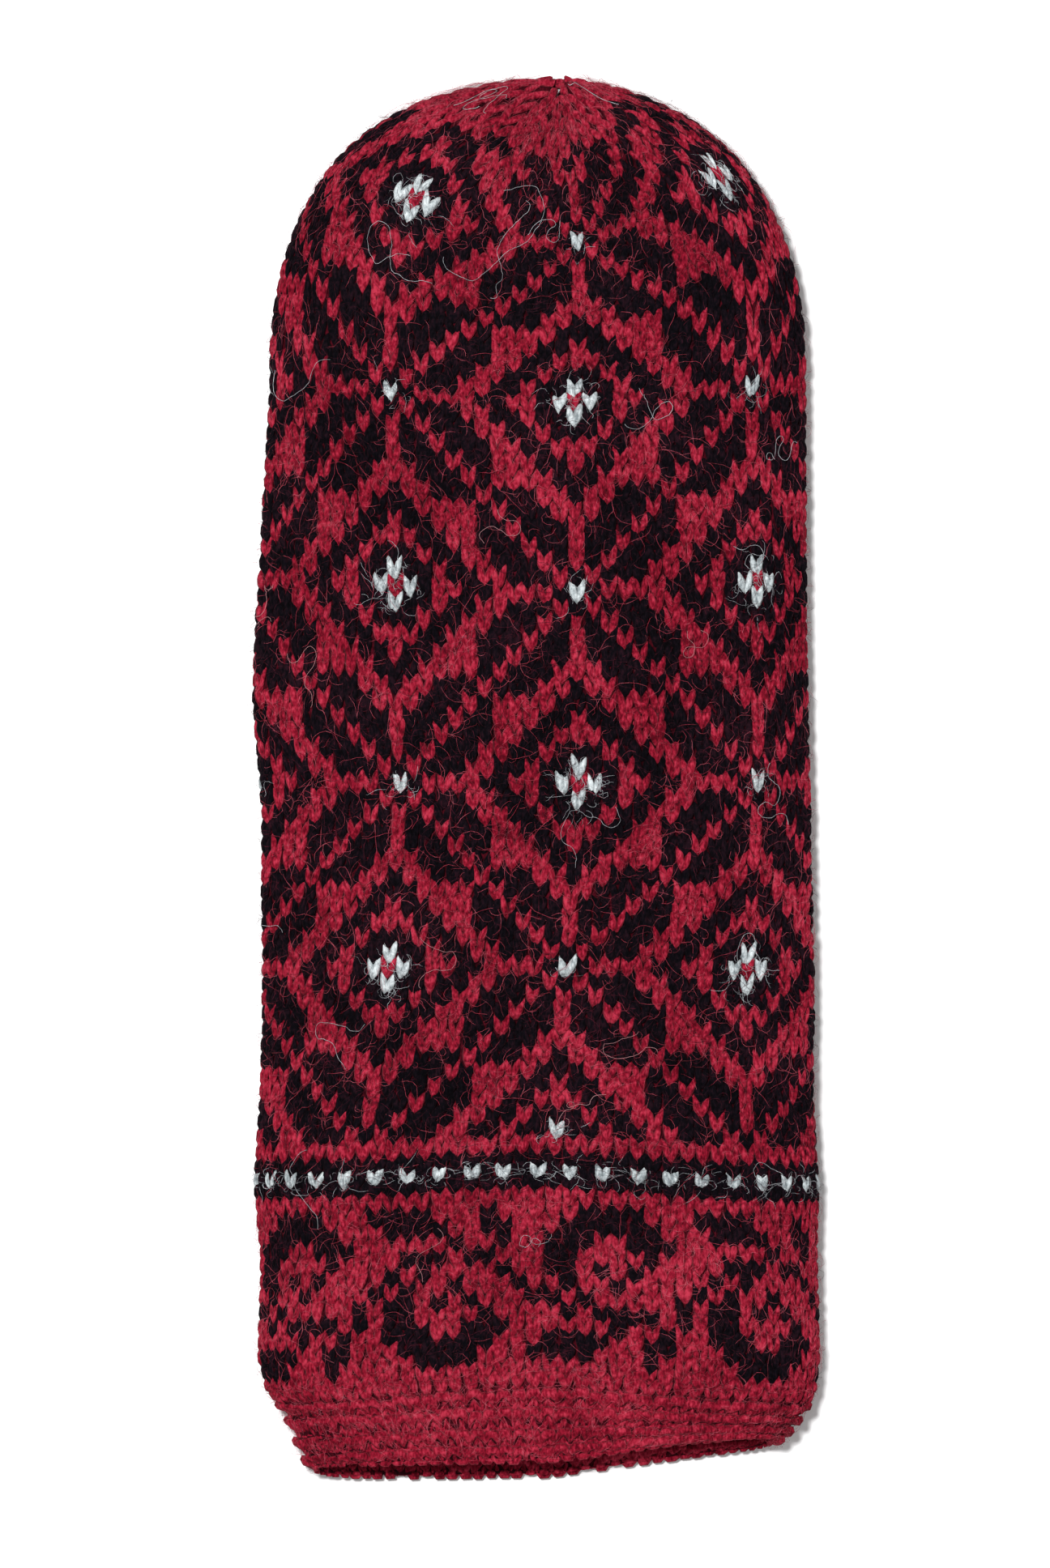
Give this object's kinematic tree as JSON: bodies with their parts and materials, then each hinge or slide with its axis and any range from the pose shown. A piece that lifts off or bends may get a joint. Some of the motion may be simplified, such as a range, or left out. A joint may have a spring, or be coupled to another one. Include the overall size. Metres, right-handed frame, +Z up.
{
  "type": "knitted mitten",
  "caption": "Hand-knitted right-hand wool mitten in stranded colourwork, with a ridged welt, scroll cuff, rounded crown and a thumb folded under the palm.",
  "frame": {"origin": "on the surface the mitten lies on, under the middle of its box", "axes": "+X across the hand away from the thumb, +Y towards the fingertips, +Z up through the back of the hand"},
  "size_m": [0.1058, 0.259, 0.0242],
  "materials": {
    "red_wool": "matt, hairy wool",
    "black_wool": "matt, hairy wool",
    "white_wool": "matt, hairy wool"
  },
  "bodies": {
    "hand": {"cast_on_edge": "red_wool", "garter_welt": "red_wool", "scroll_cuff": "red_wool", "dotted_band": "black_wool", "lower_hand": "red_wool", "thumb_pickup_round": "red_wool", "cast_on_tail": "red_wool", "black_tail": "black_wool", "white_tail": "white_wool"},
    "fingers": {"finger_section": "red_wool", "crown": "red_wool", "crown_gather": "red_wool", "crown_tail": "red_wool"},
    "thumb": {"thumb_tube": "red_wool", "thumb_crown": "red_wool", "thumb_gather": "red_wool", "thumb_tail": "red_wool"}
  },
  "joints": [
    {"name": "thumb_swing", "type": "hinge", "parent": "hand", "child": "thumb", "pos_m": [-0.028, -0.008, 0.00995], "axis": [-1, 0, 0], "range_deg": [0, 90]},
    {"name": "finger_fold", "type": "hinge", "parent": "hand", "child": "fingers", "pos_m": [0, 0.056, 0], "axis": [-1, 0, 0], "range_deg": [0, 90]}
  ]
}
